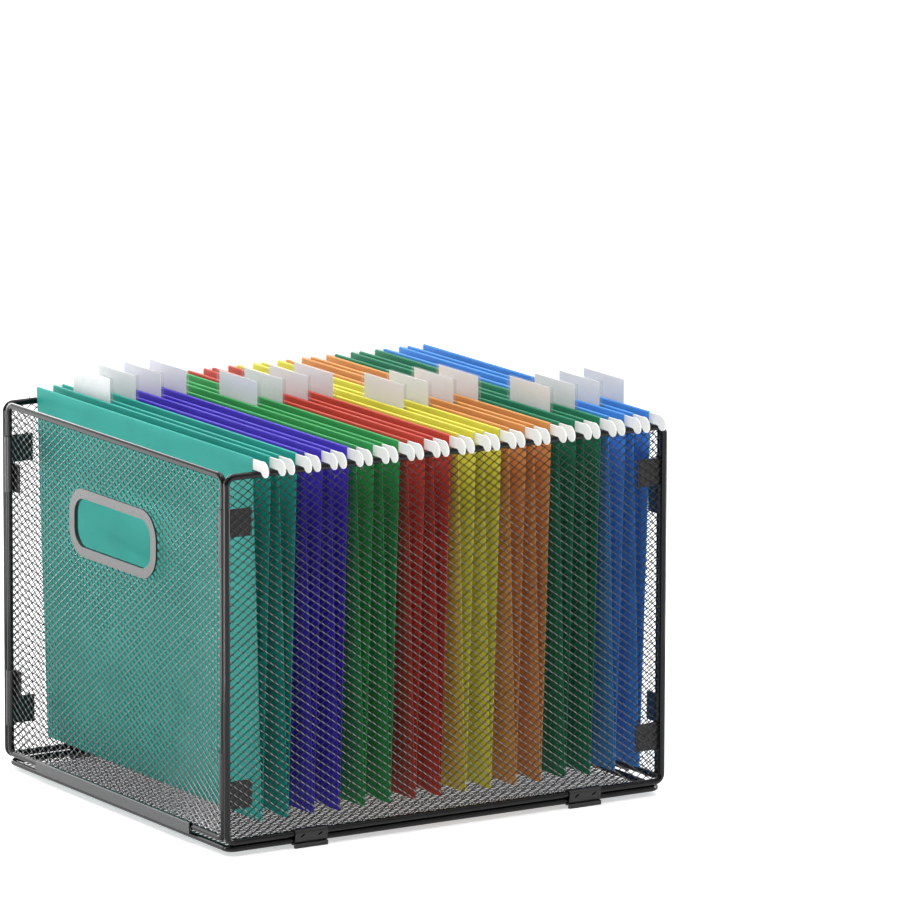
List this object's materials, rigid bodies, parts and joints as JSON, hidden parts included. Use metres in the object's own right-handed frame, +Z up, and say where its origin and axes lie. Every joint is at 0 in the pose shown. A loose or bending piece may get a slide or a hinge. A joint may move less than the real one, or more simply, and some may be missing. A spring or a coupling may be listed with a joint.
{
  "type": "hanging file rack",
  "caption": "Black wire-mesh hanging file rack with hand holes in both ends and a swing-down base, holding V-shaped coloured folders that lift off its rails",
  "frame": {"origin": "on the floor plane under the middle of the rack", "axes": "X along the long sides, Y across them with the front long side facing -Y, Z up"},
  "size_m": [0.3602, 0.339, 0.2913],
  "materials": {
    "wire": "black powder coat, half gloss",
    "mesh": "black powder coat on expanded steel",
    "clip": "black powder coat, matt",
    "trim": "black powder coat, gloss",
    "rod_white": "white coated steel rod with a clear tab",
    "card_teal": "smooth coloured card",
    "card_indigo": "smooth coloured card",
    "card_green": "smooth coloured card",
    "card_red": "smooth coloured card",
    "card_yellow": "smooth coloured card",
    "card_orange": "smooth coloured card",
    "card_dark_green": "smooth coloured card",
    "card_blue": "smooth coloured card"
  },
  "bodies": {
    "rack": {"front_frame": "wire", "front_mesh": "mesh", "back_frame": "wire", "back_mesh": "mesh", "left_end_frame": "wire", "left_end_mesh": "mesh", "left_end_hand_ring": "trim", "left_end_channel": "trim", "right_end_frame": "wire", "right_end_mesh": "mesh", "right_end_hand_ring": "trim", "right_end_channel": "trim", "corner_clip_front_left_upper": "clip", "corner_clip_front_left_lower": "clip", "corner_clip_front_right_upper": "clip", "corner_clip_front_right_lower": "clip", "corner_clip_back_left_upper": "clip", "corner_clip_back_left_lower": "clip", "corner_clip_back_right_upper": "clip", "corner_clip_back_right_lower": "clip"},
    "hinge_clips": {"base_clip_front_left": "clip", "base_clip_front_right": "clip"},
    "base": {"base_clip_back_left": "clip", "base_clip_back_right": "clip", "base_frame": "wire", "base_mesh": "mesh"},
    "folder_01": {"folder_01_card": "card_teal", "folder_01_rods_and_tab": "rod_white"},
    "folder_02": {"folder_02_card": "card_teal", "folder_02_rods_and_tab": "rod_white"},
    "folder_03": {"folder_03_card": "card_indigo", "folder_03_rods_and_tab": "rod_white"},
    "folder_04": {"folder_04_card": "card_indigo", "folder_04_rods_and_tab": "rod_white"},
    "folder_05": {"folder_05_card": "card_green", "folder_05_rods_and_tab": "rod_white"},
    "folder_06": {"folder_06_card": "card_green", "folder_06_rods_and_tab": "rod_white"},
    "folder_07": {"folder_07_card": "card_red", "folder_07_rods_and_tab": "rod_white"},
    "folder_08": {"folder_08_card": "card_red", "folder_08_rods_and_tab": "rod_white"},
    "folder_09": {"folder_09_card": "card_yellow", "folder_09_rods_and_tab": "rod_white"},
    "folder_10": {"folder_10_card": "card_yellow", "folder_10_rods_and_tab": "rod_white"},
    "folder_11": {"folder_11_card": "card_orange", "folder_11_rods_and_tab": "rod_white"},
    "folder_12": {"folder_12_card": "card_orange", "folder_12_rods_and_tab": "rod_white"},
    "folder_13": {"folder_13_card": "card_dark_green", "folder_13_rods_and_tab": "rod_white"},
    "folder_14": {"folder_14_card": "card_dark_green", "folder_14_rods_and_tab": "rod_white"},
    "folder_15": {"folder_15_card": "card_blue", "folder_15_rods_and_tab": "rod_white"},
    "folder_16": {"folder_16_card": "card_blue", "folder_16_rods_and_tab": "rod_white"}
  },
  "joints": [
    {"name": "clip_swing", "type": "hinge", "parent": "rack", "child": "hinge_clips", "pos_m": [0, -0.1537, 0.0099], "axis": [-1, 0, 0], "range_deg": [0, 90]},
    {"name": "base_swing", "type": "hinge", "parent": "hinge_clips", "child": "base", "pos_m": [0, -0.1526, 0.0051], "axis": [-1, 0, 0], "range_deg": [0, 175]},
    {"name": "folder_01_lift", "type": "slide", "parent": "rack", "child": "folder_01", "axis": [0, 0, 1], "range_m": [0, 0.28]},
    {"name": "folder_02_lift", "type": "slide", "parent": "rack", "child": "folder_02", "axis": [0, 0, 1], "range_m": [0, 0.28]},
    {"name": "folder_03_lift", "type": "slide", "parent": "rack", "child": "folder_03", "axis": [0, 0, 1], "range_m": [0, 0.28]},
    {"name": "folder_04_lift", "type": "slide", "parent": "rack", "child": "folder_04", "axis": [0, 0, 1], "range_m": [0, 0.28]},
    {"name": "folder_05_lift", "type": "slide", "parent": "rack", "child": "folder_05", "axis": [0, 0, 1], "range_m": [0, 0.28]},
    {"name": "folder_06_lift", "type": "slide", "parent": "rack", "child": "folder_06", "axis": [0, 0, 1], "range_m": [0, 0.28]},
    {"name": "folder_07_lift", "type": "slide", "parent": "rack", "child": "folder_07", "axis": [0, 0, 1], "range_m": [0, 0.28]},
    {"name": "folder_08_lift", "type": "slide", "parent": "rack", "child": "folder_08", "axis": [0, 0, 1], "range_m": [0, 0.28]},
    {"name": "folder_09_lift", "type": "slide", "parent": "rack", "child": "folder_09", "axis": [0, 0, 1], "range_m": [0, 0.28]},
    {"name": "folder_10_lift", "type": "slide", "parent": "rack", "child": "folder_10", "axis": [0, 0, 1], "range_m": [0, 0.28]},
    {"name": "folder_11_lift", "type": "slide", "parent": "rack", "child": "folder_11", "axis": [0, 0, 1], "range_m": [0, 0.28]},
    {"name": "folder_12_lift", "type": "slide", "parent": "rack", "child": "folder_12", "axis": [0, 0, 1], "range_m": [0, 0.28]},
    {"name": "folder_13_lift", "type": "slide", "parent": "rack", "child": "folder_13", "axis": [0, 0, 1], "range_m": [0, 0.28]},
    {"name": "folder_14_lift", "type": "slide", "parent": "rack", "child": "folder_14", "axis": [0, 0, 1], "range_m": [0, 0.28]},
    {"name": "folder_15_lift", "type": "slide", "parent": "rack", "child": "folder_15", "axis": [0, 0, 1], "range_m": [0, 0.28]},
    {"name": "folder_16_lift", "type": "slide", "parent": "rack", "child": "folder_16", "axis": [0, 0, 1], "range_m": [0, 0.28]}
  ]
}
